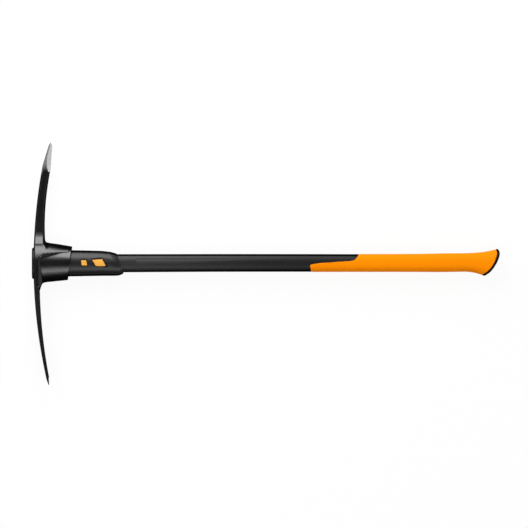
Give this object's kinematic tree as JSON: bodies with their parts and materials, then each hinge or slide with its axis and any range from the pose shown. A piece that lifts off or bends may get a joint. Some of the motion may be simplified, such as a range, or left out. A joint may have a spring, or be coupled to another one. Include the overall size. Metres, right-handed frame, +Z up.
{
  "type": "pickaxe",
  "caption": "Pickaxe with a forged head, pick point one side and flat blade the other, on a damped composite handle with a flared soft grip.",
  "frame": {"origin": "on the flat cheek of the head that the tool lies on, under the middle of the eye", "axes": "+X down the handle from the head to the butt, +Y towards the pick point, -Y towards the blade, +Z up from the ground that the tool lies on"},
  "size_m": [0.9145, 0.4735, 0.054],
  "materials": {
    "painted_steel": "black powder coat with a satin sheen over forged steel, ground bright at the point",
    "black_elastomer": "satin moulded black elastomer",
    "orange_elastomer": "smooth moulded orange elastomer",
    "black_plastic": "fine grained moulded black plastic",
    "grey_elastomer": "soft grey damping layer",
    "glass_fibre": "pultruded glass fibre in clear resin",
    "orange_grip": "soft orange grip with a fine matte texture"
  },
  "bodies": {
    "root": {"pick_head": "painted_steel", "eye_cap": "black_elastomer", "insulation_sleeve": "orange_elastomer", "neck_boot": "black_elastomer", "handle_shell": "black_plastic", "damping_liner": "grey_elastomer", "core_bar": "glass_fibre", "hand_grip": "orange_grip", "butt_cap": "black_elastomer"}
  },
  "joints": []
}
